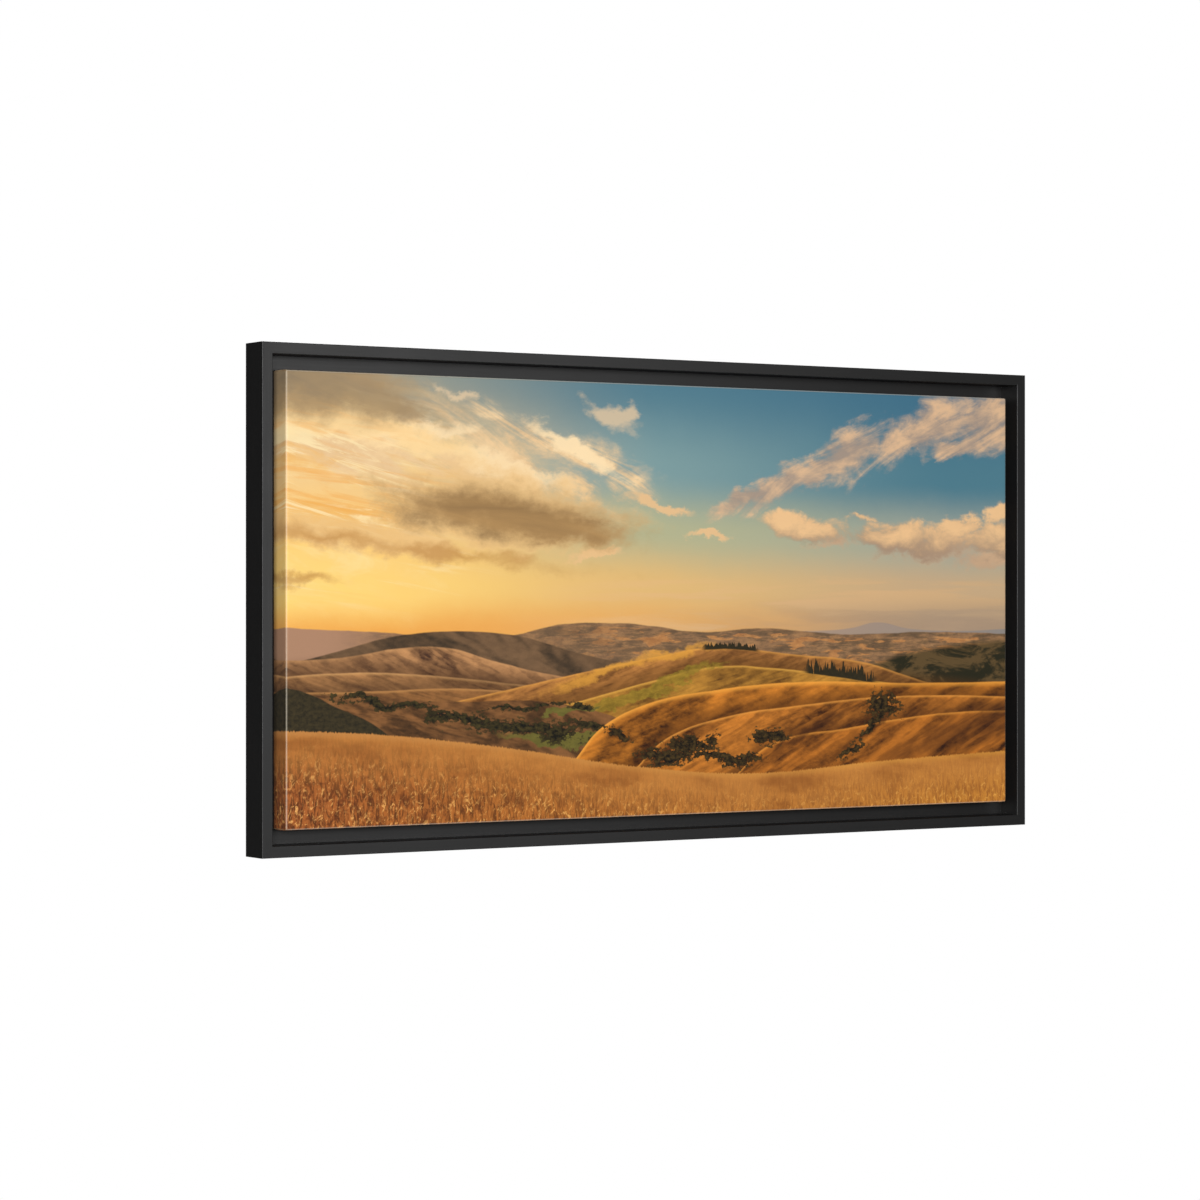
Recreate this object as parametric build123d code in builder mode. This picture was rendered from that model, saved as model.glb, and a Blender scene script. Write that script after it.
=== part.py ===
"""Stretched canvas print in a float frame, ready to hang.

+X is to the right as seen from the front, +Y goes into the wall, +Z is up.
The origin is on the wall plane, midway between the two hooks that carry the
picture and at the height where they meet the hanger rings.  Millimetres.
"""
from build123d import *
import os

# ---- canvas: cloth wrapped over stretcher bars --------------------------------
canvas_width = 1016.0        # nominal 40 inch
canvas_height = 508.0        # nominal 20 inch
cloth = 0.4                  # thickness of the woven cloth

bar_width = 38.0             # across the face of a stretcher bar
bead_width = 6.0             # flat strip at the outer edge that carries the cloth
bead_round = 2.5             # the rounded outer front edge
bar_bevel = 4.0              # how far the bar falls away from the cloth
bar_ease = 2.0               # eased inner edges

slot_thickness = 4.0         # sawn slots of the corner joints
slot_spacing = 5.0           # wood left between the two slots
joint_clearance = 0.1        # each side of a tongue in its slot
tongue_inset = 1.5           # the tongues stay this far inside the outer edges

key_gap_outer = 2.5          # the tapered room for a key, at the bar's outer edge
key_gap_inner = 12.5         # and at its inner edge
key_tip_inset = 6.0          # from the outer edge to the key's tip
key_head = 10.0              # how far a seated key stands out of its slot
key_clearance = 0.05         # on each edge of a key
key_face_clearance = 0.3     # on each face of a key
key_ease = 1.0

brace_width = 38.0
brace_depth = 18.0
tenon_width = 30.0
tenon_length = 19.0
tenon_end_clearance = 1.0

staple_crown = 10.0
staple_wire = 1.2            # width of the flattened wire
staple_thickness = 0.5
staple_cover = 1.0           # wood left between a staple's points and the slots
staple_row = 7.0             # from the ledge of the frame to the row of staples
staple_margin = 7.0          # from the row of staples to the cut edge of the cloth
staple_pitch = 50.0          # about, evened out along each bar
staple_corner_gap = 46.0     # no staple nearer to the canvas corner

# ---- float frame: an L section, mitred ----------------------------------------
lip_width = 13.0             # the face seen from the front
float_gap = 17.0             # shadow gap between the lip and the canvas
rebate_depth = 32.0          # from the lip's face down to the ledge
ledge_thickness = 8.5
ledge_lap = 16.0             # how far the ledge reaches behind the canvas
picture_recess = 1.0         # the canvas sits this far behind the lip's face
lip_round = 0.8
back_round = 0.5

v_nail_leg = 8.0
v_nail_thickness = 0.8
v_nail_cover = 1.5           # wood left under a nail in the ledge

screw_radius = 1.75          # wood screws that hold the canvas in the frame
screw_hole_clearance = 0.15
screw_head_radius = 3.6
screw_length = 22.0
screw_point = 4.0
screw_inset = 8.0            # from the canvas edge
screw_corner_distance = 120.0  # from the frame's outer corners
recess_width = 1.0           # the cross in a screw head
recess_length = 3.8
recess_depth = 1.4

# ---- hanging hardware ----------------------------------------------------------
hanger_drop = 142.0          # from the top of the frame to the ring's axis
hanger_inset = 23.0          # from the frame's outer face
strap_width = 12.0
strap_thickness = 1.0
strap_length = 37.0          # below the ring's axis
strap_end_round = 5.0
ring_wire_radius = 1.25
ring_half_width = 9.0        # to the middle of the wire
ring_leg = 3.0
ring_corner = 2.0
ring_clearance = 0.1         # radial, in the rolled eye
eye_slit = 0.4
hanger_hole_drops = (19.0, 31.0)
hanger_hole_radius = 1.8
hanger_screw_radius = 1.5
hanger_screw_length = 6.0    # in the wood
hanger_screw_point = 2.0
hanger_head_radius = 3.2
hanger_head_height = 1.8
hanger_head_round = 1.0

bumper_radius = 6.0
bumper_height = 5.0          # keeps the hangers clear of the wall
bumper_round = 1.5
bumper_inset = 15.0          # from both outer faces of the frame

# ---- derived places ------------------------------------------------------------
back_y = -bumper_height                      # the frame's back
floor_y = back_y - ledge_thickness           # the ledge that carries the canvas
front_y = floor_y - rebate_depth             # the lip's face
canvas_front_y = front_y + picture_recess
bar_front_y = canvas_front_y + cloth
bar_back_y = floor_y - cloth

staple_inset = ledge_lap + staple_row        # from the canvas edge
cloth_return = staple_inset + staple_margin  # cloth turned over on to the bars' backs

rail_width = lip_width + float_gap + ledge_lap
frame_width = canvas_width + 2 * (float_gap + lip_width)
frame_height = canvas_height + 2 * (float_gap + lip_width)

eye_inner = ring_wire_radius + ring_clearance
eye_outer = eye_inner + strap_thickness
ring_y = back_y + eye_outer
ring_reach = ring_leg + ring_half_width      # from the axis to the middle of the bow
ring_z = ring_wire_radius - ring_reach       # a raised ring meets the hook at z = 0
hanger_x = frame_width / 2 - hanger_inset
mid_z = ring_z + hanger_drop - frame_height / 2   # the middle of the picture

v_nail_height = ledge_thickness - v_nail_cover
v_nail_insets = [                            # middle of the wall, middle of the ledge
    (lip_width - v_nail_leg) / 2,
    (lip_width + rail_width - v_nail_leg) / 2,
]

# The pair of slots is centred in the wood at the bar's inner edge.
inner_depth = bar_back_y - bar_front_y - bar_bevel
back_slot_depth = (inner_depth - slot_spacing) / 2 - slot_thickness
front_slot_depth = (inner_depth + slot_spacing) / 2
staple_leg = cloth + back_slot_depth - staple_cover
tongue_thickness = slot_thickness - 2 * joint_clearance
key_thickness = slot_thickness - 2 * key_face_clearance
back_slot_y = bar_back_y - back_slot_depth - slot_thickness
front_slot_y = bar_back_y - front_slot_depth - slot_thickness

# Each side of the picture: the way out from its middle, and the way along.
OUT = {"top": (0, 0, 1), "right": (1, 0, 0), "bottom": (0, 0, -1), "left": (-1, 0, 0)}
RUN = {"top": (-1, 0, 0), "right": (0, 0, 1), "bottom": (1, 0, 0), "left": (0, 0, -1)}
LEVEL = ("top", "bottom")
SIDES = tuple(OUT)


def half_sizes(side, width, height):
    """From the middle of a width by height rectangle to a side, and half that side."""
    if side in LEVEL:
        return height / 2, width / 2
    return width / 2, height / 2


def section_plane(side):
    """Across a side: local X is the distance from the picture's middle, local Y is +Y."""
    return Plane(origin=(0, 0, mid_z), x_dir=OUT[side], z_dir=RUN[side])


def plan_plane(side, y):
    """Flat on the picture at depth y: local X runs along the side, local Y goes out."""
    return Plane(origin=(0, y, mid_z), x_dir=RUN[side], z_dir=(0, 1, 0))


def front_plane(y):
    """The picture as seen from the front, at depth y; its normal comes forward."""
    return Plane(origin=(0, y, mid_z), x_dir=(1, 0, 0), z_dir=(0, -1, 0))


def mitre_plane(side, end, reach, half_run):
    """The 45 degree cut at one end of a side, its normal pointing off the end."""
    along = Vector(*RUN[side]) * end
    out = Vector(*OUT[side])
    corner = Vector(0, 0, mid_z) + along * half_run + out * reach
    return Plane(origin=corner, z_dir=along - out)


def spread(half_span, pitch):
    """Even places from -half_span to half_span, about a pitch apart."""
    steps = max(1, round(2 * half_span / pitch))
    return [half_span * (2 * step / steps - 1) for step in range(steps + 1)]


def save(node, name):
    node.part.label = name
    export_step(node.part, f"parts/{name}.step")


os.makedirs("parts", exist_ok=True)


# ---- fasteners, made first because the wood is pierced by them -------------------
with BuildPart() as v_nails:
    with BuildSketch(front_plane(back_y)):
        corner = (frame_width / 2, frame_height / 2)
        for inset in v_nail_insets:
            with Locations((corner[0] - inset, corner[1] - inset)):
                Rectangle(v_nail_leg, v_nail_thickness, align=(Align.MAX, Align.MAX))
                Rectangle(v_nail_thickness, v_nail_leg, align=(Align.MAX, Align.MAX))
        mirror(about=Plane.YZ)
        mirror(about=Plane.XZ)
    extrude(amount=v_nail_height)
save(v_nails, "corner_v_nails")


def staple_places(side):
    """Middles of the staples on one bar, on its plan plane."""
    reach, half_run = half_sizes(side, canvas_width, canvas_height)
    stations = spread(half_run - staple_corner_gap, staple_pitch)
    return [(along, reach - staple_inset) for along in stations]


with BuildPart() as staples:
    for side in SIDES:
        with BuildSketch(plan_plane(side, floor_y)):
            with Locations(*staple_places(side)):
                Rectangle(staple_crown, staple_wire)
        extrude(amount=staple_thickness)
        with BuildSketch(plan_plane(side, floor_y)):
            with Locations(*staple_places(side)):
                with GridLocations(staple_crown - staple_thickness, 0, 2, 1):
                    Rectangle(staple_thickness, staple_wire)
        extrude(amount=-staple_leg)
save(staples, "canvas_staples")


def screw_places(side):
    """The frame screws of one rail, on its plan plane."""
    reach, _ = half_sizes(side, canvas_width, canvas_height)
    _, half_run = half_sizes(side, frame_width, frame_height)
    outer = half_run - screw_corner_distance
    stations = (-outer, 0, outer) if side in LEVEL else (-outer, outer)
    return [(along, reach - screw_inset) for along in stations]


with BuildPart() as one_screw:
    with BuildSketch(Plane.XZ):
        with BuildLine():
            Polyline(
                (0, 0),
                (screw_head_radius, 0),
                (screw_radius, -(screw_head_radius - screw_radius)),
                (screw_radius, screw_point - screw_length),
                (0, -screw_length),
                close=True,
            )
        make_face()
    revolve(axis=Axis.Z)
    with BuildSketch():
        Rectangle(recess_length, recess_width)
        Rectangle(recess_width, recess_length)
    extrude(amount=-recess_depth, mode=Mode.SUBTRACT)

with BuildPart() as frame_screws:
    for side in SIDES:
        with Locations(plan_plane(side, back_y)):
            with Locations(*screw_places(side)):
                add(one_screw.part)
save(frame_screws, "frame_screws")

with BuildPart() as one_hanger_screw:
    with BuildSketch(Plane.XZ):
        with BuildLine():
            Polyline(
                (0, hanger_head_height),
                (hanger_head_radius, hanger_head_height),
                (hanger_head_radius, 0),
                (hanger_screw_radius, 0),
                (hanger_screw_radius, hanger_screw_point - strap_thickness - hanger_screw_length),
                (0, -strap_thickness - hanger_screw_length),
                close=True,
            )
        make_face()
    revolve(axis=Axis.Z)
    fillet(one_hanger_screw.edges().group_by(Axis.Z)[-1], hanger_head_round)
    with BuildSketch(Plane.XY.offset(hanger_head_height)):
        Rectangle(recess_length, recess_width)
        Rectangle(recess_width, recess_length)
    extrude(amount=-recess_depth, mode=Mode.SUBTRACT)

hanger_screw_spots = [(x, -drop) for x in (-hanger_x, hanger_x) for drop in hanger_hole_drops]
strap_face = Plane(origin=(0, back_y + strap_thickness, ring_z), x_dir=(-1, 0, 0), z_dir=(0, 1, 0))

with BuildPart() as hanger_screws:
    with Locations(strap_face):
        with Locations(*hanger_screw_spots):
            add(one_hanger_screw.part)
save(hanger_screws, "hanger_screws")


# ---- float frame -----------------------------------------------------------------
def frame_rail(side):
    """One mitred rail: a wall that ends in the lip, and a ledge behind the canvas."""
    reach, half_run = half_sizes(side, frame_width, frame_height)
    ledge_end = reach - rail_width
    lip_inner = reach - lip_width
    with BuildPart() as rail:
        with BuildSketch(section_plane(side)) as section:
            with BuildLine():
                Polyline(
                    (reach, back_y),
                    (ledge_end, back_y),
                    (ledge_end, floor_y),
                    (lip_inner, floor_y),
                    (lip_inner, front_y),
                    (reach, front_y),
                    close=True,
                )
            make_face()
            fillet(section.vertices().group_by(Axis.Y)[0], lip_round)
            fillet(section.vertices().group_by(Axis.Y)[-1], back_round)
        extrude(amount=half_run, both=True)
        for end in (-1, 1):
            split(bisect_by=mitre_plane(side, end, reach, half_run), keep=Keep.BOTTOM)
        with Locations(plan_plane(side, back_y)):
            with Locations(*screw_places(side)):
                CounterSinkHole(
                    radius=screw_radius + screw_hole_clearance,
                    counter_sink_radius=screw_head_radius,
                    depth=ledge_thickness,
                    counter_sink_angle=90,
                )
        add(v_nails.part, mode=Mode.SUBTRACT)
        if side not in LEVEL:
            add(hanger_screws.part, mode=Mode.SUBTRACT)
    return rail


for side in SIDES:
    save(frame_rail(side), f"frame_rail_{side}")


# ---- stretcher bars ----------------------------------------------------------------
def key_gap(inset):
    """Room for a key at a distance from the bar's outer edge."""
    return key_gap_outer + (key_gap_inner - key_gap_outer) * inset / bar_width


def stretcher_bar(side):
    """A bar with a mitred, tongued and slotted corner joint at each end."""
    reach, half_run = half_sizes(side, canvas_width - 2 * cloth, canvas_height - 2 * cloth)
    inner = reach - bar_width
    shoulder = half_run - bar_width
    tongue_y = (back_slot_y if side in LEVEL else front_slot_y) + joint_clearance
    slot_y = front_slot_y if side in LEVEL else back_slot_y
    with BuildPart() as bar:
        with BuildSketch(section_plane(side)) as section:
            with BuildLine():
                Polyline(
                    (reach, bar_back_y),
                    (reach, bar_front_y),
                    (reach - bead_width, bar_front_y),
                    (inner, bar_front_y + bar_bevel),
                    (inner, bar_back_y),
                    close=True,
                )
            make_face()
            fillet(section.vertices().group_by(Axis.X)[0], bar_ease)
            fillet(section.vertices().group_by(Axis.Y)[0].sort_by(Axis.X)[-1], bead_round)
        extrude(amount=half_run, both=True)
        for end in (-1, 1):
            split(bisect_by=mitre_plane(side, end, reach, half_run), keep=Keep.BOTTOM)
        with BuildSketch(plan_plane(side, tongue_y)):
            with Locations((0, inner)):
                Rectangle(
                    2 * (half_run - tongue_inset),
                    bar_width - tongue_inset,
                    align=(Align.CENTER, Align.MIN),
                )
        extrude(amount=tongue_thickness)
        with BuildSketch(plan_plane(side, slot_y)):
            with BuildLine():
                Polyline(
                    (half_run, reach),
                    (shoulder - key_gap(0), reach),
                    (shoulder - key_gap(bar_width), inner),
                    (half_run, inner),
                    close=True,
                )
            make_face()
            mirror(about=Plane.YZ)
        extrude(amount=slot_thickness, mode=Mode.SUBTRACT)
        if side in LEVEL:
            with BuildSketch(plan_plane(side, back_slot_y)):
                with Locations((0, inner)):
                    Rectangle(
                        tenon_width + 2 * joint_clearance,
                        tenon_length + tenon_end_clearance,
                        align=(Align.CENTER, Align.MIN),
                    )
            extrude(amount=slot_thickness, mode=Mode.SUBTRACT)
        add(staples.part, mode=Mode.SUBTRACT)
        add(frame_screws.part, mode=Mode.SUBTRACT)
    return bar


for side in SIDES:
    save(stretcher_bar(side), f"stretcher_bar_{side}")


def corner_key(side, end):
    """The wedge in one slot: its straight edge lies along the bar round the corner."""
    reach, half_run = half_sizes(side, canvas_width - 2 * cloth, canvas_height - 2 * cloth)
    shoulder = half_run - bar_width - key_clearance
    slot_y = front_slot_y if side in LEVEL else back_slot_y
    head_inset = bar_width + key_head
    with BuildPart() as key:
        with BuildSketch(plan_plane(side, slot_y + key_face_clearance)) as outline:
            with BuildLine():
                Polyline(
                    (shoulder, reach - key_tip_inset),
                    (shoulder - key_gap(key_tip_inset) + 2 * key_clearance, reach - key_tip_inset),
                    (shoulder - key_gap(head_inset) + 2 * key_clearance, reach - head_inset),
                    (shoulder, reach - head_inset),
                    close=True,
                )
            make_face()
            chamfer(outline.vertices(), key_ease)
            if end < 0:
                mirror(about=Plane.YZ, mode=Mode.REPLACE)
        extrude(amount=key_thickness)
    return key


# The corners at the start and the end of each side's run.
CORNERS = {
    "top": ("right", "left"),
    "right": ("bottom", "top"),
    "bottom": ("left", "right"),
    "left": ("top", "bottom"),
}
for side in SIDES:
    for end, corner_name in zip((-1, 1), CORNERS[side]):
        save(corner_key(side, end), f"corner_key_{side}_bar_{corner_name}")

with BuildPart() as brace:
    half_length = canvas_height / 2 - cloth - bar_width
    with BuildSketch(Plane.XY.offset(mid_z)) as brace_section:
        with Locations((0, bar_back_y)):
            Rectangle(brace_width, brace_depth, align=(Align.CENTER, Align.MAX))
        fillet(brace_section.vertices(), bar_ease)
    extrude(amount=half_length, both=True)
    with BuildSketch(front_plane(back_slot_y + slot_thickness - joint_clearance)):
        Rectangle(tenon_width, 2 * (half_length + tenon_length))
    extrude(amount=tongue_thickness)
save(brace, "centre_brace")


# ---- cloth -------------------------------------------------------------------------
with BuildPart() as bar_space:
    with BuildSketch(front_plane(bar_back_y)):
        Rectangle(canvas_width - 2 * cloth, canvas_height - 2 * cloth)
    extrude(amount=bar_back_y - bar_front_y)
    fillet(bar_space.faces().sort_by(Axis.Y)[0].edges(), bead_round)

with BuildPart() as canvas:
    with BuildSketch(front_plane(floor_y)):
        Rectangle(canvas_width, canvas_height)
    extrude(amount=floor_y - canvas_front_y)
    fillet(canvas.faces().sort_by(Axis.Y)[0].edges(), bead_round + cloth)
    add(bar_space.part, mode=Mode.SUBTRACT)
    with BuildSketch(front_plane(floor_y)):
        Rectangle(canvas_width - 2 * cloth_return, canvas_height - 2 * cloth_return)
    extrude(amount=cloth, mode=Mode.SUBTRACT)
    add(staples.part, mode=Mode.SUBTRACT)
    add(frame_screws.part, mode=Mode.SUBTRACT)
save(canvas, "canvas")


# ---- hangers and bumpers -------------------------------------------------------------
def hanger_strap(x):
    """A steel strap rolled into an eye round the ring, with two screw holes."""
    with BuildPart() as strap:
        with BuildSketch(Plane(origin=(x, 0, 0), x_dir=(0, 1, 0), z_dir=(1, 0, 0))):
            with Locations((ring_y, ring_z)):
                Circle(eye_outer)
            with Locations((back_y, ring_z)):
                Rectangle(strap_thickness, strap_length, align=(Align.MIN, Align.MAX))
            with Locations((ring_y, ring_z)):
                Circle(eye_inner, mode=Mode.SUBTRACT)
            with Locations((back_y + strap_thickness, ring_z - eye_inner / 2)):
                Rectangle(eye_slit, 2 * eye_outer, align=(Align.MIN, Align.MAX), mode=Mode.SUBTRACT)
        extrude(amount=strap_width / 2, both=True)
        fillet(strap.edges().filter_by(Axis.Y).group_by(Axis.Z)[0], strap_end_round)
        with Locations(strap_face):
            with Locations(*[(-x, -drop) for drop in hanger_hole_drops]):
                Hole(radius=hanger_hole_radius, depth=strap_thickness)
    return strap


def hanger_ring(x):
    """A D of round wire: a straight side in the eye, two legs and a half-round bow."""
    ring_plane = Plane(origin=(x, ring_y, ring_z), x_dir=(1, 0, 0), z_dir=(0, -1, 0))
    straight = ring_half_width - ring_corner
    with BuildPart() as ring:
        with BuildLine(ring_plane) as path:
            Line((0, 0), (straight, 0))
            RadiusArc((straight, 0), (ring_half_width, -ring_corner), ring_corner)
            Line((ring_half_width, -ring_corner), (ring_half_width, -ring_leg))
            ThreePointArc(
                (ring_half_width, -ring_leg),
                (0, -ring_leg - ring_half_width),
                (-ring_half_width, -ring_leg),
            )
            Line((-ring_half_width, -ring_leg), (-ring_half_width, -ring_corner))
            RadiusArc((-ring_half_width, -ring_corner), (-straight, 0), ring_corner)
            Line((-straight, 0), (0, 0))
        with BuildSketch(Plane(origin=(x, ring_y, ring_z), z_dir=(1, 0, 0))):
            Circle(ring_wire_radius)
        sweep()
    return ring


def wall_bumper(x):
    """A soft round foot, its outer rim rounded."""
    with BuildPart() as bumper:
        bottom = -frame_height / 2 + bumper_inset
        with BuildSketch(Plane(origin=(x, back_y, mid_z + bottom), x_dir=(1, 0, 0), z_dir=(0, 1, 0))):
            Circle(bumper_radius)
        extrude(amount=bumper_height)
        fillet(bumper.faces().sort_by(Axis.Y)[-1].edges(), bumper_round)
    return bumper


for hand, sign in (("left", -1), ("right", 1)):
    save(hanger_strap(sign * hanger_x), f"hanger_strap_{hand}")
    save(hanger_ring(sign * hanger_x), f"hanger_ring_{hand}")
    save(wall_bumper(sign * (frame_width / 2 - bumper_inset)), f"wall_bumper_{hand}")
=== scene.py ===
"""Looks of a stretched canvas print in a black float frame.

Everything is in metres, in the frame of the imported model: +X right as seen from the
front, +Y into the wall, +Z up.  The cloth is a numpy surface that wraps the stretcher
bars; the print on it is a landscape worked out in shader nodes.
"""

import math

import bmesh
import bpy
import numpy as np
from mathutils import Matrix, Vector


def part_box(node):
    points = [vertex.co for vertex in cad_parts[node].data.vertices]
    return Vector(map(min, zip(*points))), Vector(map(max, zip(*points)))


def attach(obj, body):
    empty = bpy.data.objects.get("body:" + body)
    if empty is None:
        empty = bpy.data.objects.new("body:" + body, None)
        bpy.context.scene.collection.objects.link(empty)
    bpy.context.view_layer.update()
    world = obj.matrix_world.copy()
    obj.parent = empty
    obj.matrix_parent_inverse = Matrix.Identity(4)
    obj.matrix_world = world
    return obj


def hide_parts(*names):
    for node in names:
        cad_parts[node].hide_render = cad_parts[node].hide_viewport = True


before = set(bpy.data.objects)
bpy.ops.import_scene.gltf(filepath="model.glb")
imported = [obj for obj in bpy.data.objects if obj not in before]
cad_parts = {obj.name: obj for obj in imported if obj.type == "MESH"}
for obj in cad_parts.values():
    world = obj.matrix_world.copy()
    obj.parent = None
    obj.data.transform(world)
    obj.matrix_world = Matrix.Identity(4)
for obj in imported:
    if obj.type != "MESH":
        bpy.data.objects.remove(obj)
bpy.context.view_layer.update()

MM = 0.001

# ---- sizes taken from the frame --------------------------------------
cloth_low, cloth_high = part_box("canvas")
rail_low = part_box("frame_rail_bottom")[0]
rail_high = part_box("frame_rail_top")[1]
CANVAS_WIDTH = cloth_high.x - cloth_low.x
CANVAS_HEIGHT = cloth_high.z - cloth_low.z
FRAME_WIDTH = rail_high.x - rail_low.x
MIDDLE = Vector((0, 0, (rail_low.z + rail_high.z) / 2))
FRONT_Y = rail_low.y

# ---- camera ----------------------------------------------------------
CAMERA_SIDE = 2.0928         # to the left of the picture's middle, in frame widths
CAMERA_AWAY = 3.149          # in front of the lip's face, in frame widths
CAMERA_YAW = math.radians(32.43)
CAMERA_LENS = 103.35
SENSOR = 36


def make_camera():
    """Level with the picture's middle, to the left of it and turned towards it."""
    data = bpy.data.cameras.new("camera")
    data.lens = CAMERA_LENS
    data.sensor_width = SENSOR
    data.clip_start = 0.1
    data.clip_end = 100
    camera = bpy.data.objects.new("camera", data)
    camera.location = (
        -CAMERA_SIDE * FRAME_WIDTH,
        FRONT_Y - CAMERA_AWAY * FRAME_WIDTH,
        MIDDLE.z,
    )
    camera.rotation_euler = (math.pi / 2, 0, -CAMERA_YAW)
    bpy.context.scene.collection.objects.link(camera)
    bpy.context.scene.camera = camera


make_camera()


# ---- shader maths ----------------------------------------------------
def srgb(code):
    """A hex colour as linear RGBA."""
    parts = [int(code[i:i + 2], 16) / 255 for i in (1, 3, 5)]
    return tuple(p / 12.92 if p < 0.04045 else ((p + 0.055) / 1.055) ** 2.4 for p in parts) + (1,)


class Signal:
    """The output of a node; arithmetic on it adds Math nodes."""

    def __init__(self, shader, socket):
        self.shader = shader
        self.socket = socket

    def math(self, operation, *values):
        return self.shader.node("ShaderNodeMath", {"operation": operation}, values)

    def __add__(self, other):
        return self.math("ADD", self, other)

    def __sub__(self, other):
        return self.math("SUBTRACT", self, other)

    def __rsub__(self, other):
        return self.math("SUBTRACT", other, self)

    def __mul__(self, other):
        return self.math("MULTIPLY", self, other)

    def __truediv__(self, other):
        return self.math("DIVIDE", self, other)

    def __pow__(self, other):
        return self.math("POWER", self, other)

    __radd__ = __add__
    __rmul__ = __mul__

    def sine(self):
        return self.math("SINE", self)

    def size(self):
        return self.math("ABSOLUTE", self)

    def most(self, other):
        return self.math("MAXIMUM", self, other)

    def least(self, other):
        return self.math("MINIMUM", self, other)

    def mirrored(self):
        """Back and forth between 0 and 1."""
        return self.math("PINGPONG", self, 1.0)


class Nodes:
    """The node tree of a material or a world."""

    def __init__(self, owner):
        owner.use_nodes = True
        self.tree = owner.node_tree

    def node(self, kind, settings=None, values=(), output=0):
        """A node of that kind: its settings first, then values or links by place or name."""
        made = self.tree.nodes.new(kind)
        for name, value in (settings or {}).items():
            if name == "stops":
                fill_ramp(made.color_ramp, value)
            elif name == "points":
                fill_curve(made.mapping, value)
            else:
                setattr(made, name, value)
        pairs = values.items() if isinstance(values, dict) else enumerate(values)
        for place, value in pairs:
            if isinstance(value, Signal):
                self.tree.links.new(value.socket, made.inputs[place])
            else:
                made.inputs[place].default_value = value
        return Signal(self, made.outputs[output])


class Shader(Nodes):
    """One material, with the nodes that its patterns share."""

    def __init__(self, name, **constants):
        self.material = bpy.data.materials.new(name)
        super().__init__(self.material)
        self.surface = self.tree.nodes["Principled BSDF"]
        for socket, value in constants.items():
            self.surface.inputs[socket.replace("_", " ")].default_value = value

    def feed(self, socket, signal):
        """Link a signal to a socket of the surface."""
        self.tree.links.new(signal.socket, self.surface.inputs[socket])

    def place(self):
        """Object coordinates."""
        return self.node("ShaderNodeTexCoord", output="Object")

    def split(self, vector):
        """The three numbers of a vector."""
        first = self.node("ShaderNodeSeparateXYZ", values=(vector,))
        return [Signal(self, socket) for socket in first.socket.node.outputs]

    def join(self, x, y, z=0.0):
        """A vector of three numbers."""
        return self.node("ShaderNodeCombineXYZ", values=(x, y, z))

    def noise(self, vector, scale, detail=2.0, roughness=0.5, distortion=0.0):
        """Layered noise, about 0.5."""
        values = {
            "Vector": vector,
            "Scale": scale,
            "Detail": detail,
            "Roughness": roughness,
            "Distortion": distortion,
        }
        return self.node("ShaderNodeTexNoise", values=values)

    def cells(self, vector, scale):
        """Distance to the nearest of scattered points."""
        values = {"Vector": vector, "Scale": scale}
        return self.node("ShaderNodeTexVoronoi", values=values, output="Distance")

    def step(self, value, low, high):
        """0 below low, 1 above high, smooth between."""
        settings = {"interpolation_type": "SMOOTHSTEP"}
        values = {"Value": value, "From Min": low, "From Max": high}
        return self.node("ShaderNodeMapRange", settings, values)

    def mix(self, factor, first, second):
        """From the first colour to the second as the factor goes from 0 to 1."""
        settings = {"data_type": "RGBA", "clamp_factor": True}
        return self.node("ShaderNodeMix", settings, {0: factor, 6: first, 7: second}, output=2)

    def multiply(self, factor, first, second):
        """The first colour, times the second as the factor goes from 0 to 1."""
        settings = {"data_type": "RGBA", "blend_type": "MULTIPLY"}
        return self.node("ShaderNodeMix", settings, {0: factor, 6: first, 7: second}, output=2)

    def ramp(self, value, *stops):
        """Colour stops given as (place, hex colour)."""
        return self.node("ShaderNodeValToRGB", {"stops": stops}, (value,))

    def bump(self, height, strength, distance):
        """Light the surface as if it rose by a height from 0 to 1, times the distance."""
        values = {"Strength": strength, "Distance": distance, "Height": height}
        self.feed("Normal", self.node("ShaderNodeBump", values=values))


def fill_ramp(ramp, stops):
    """Colour stops (place, hex colour), eased from one to the next."""
    ramp.interpolation = "EASE"
    while len(ramp.elements) < len(stops):
        ramp.elements.new(1.0)
    for element, (place, code) in zip(ramp.elements, stops):
        element.position = place
        element.color = srgb(code)


def fill_curve(mapping, points):
    """A smooth curve through those knots."""
    line = mapping.curves[0].points
    while len(line) < len(points):
        line.new(1.0, 1.0)
    for knot, place in zip(line, points):
        knot.location = place
    mapping.update()


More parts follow.
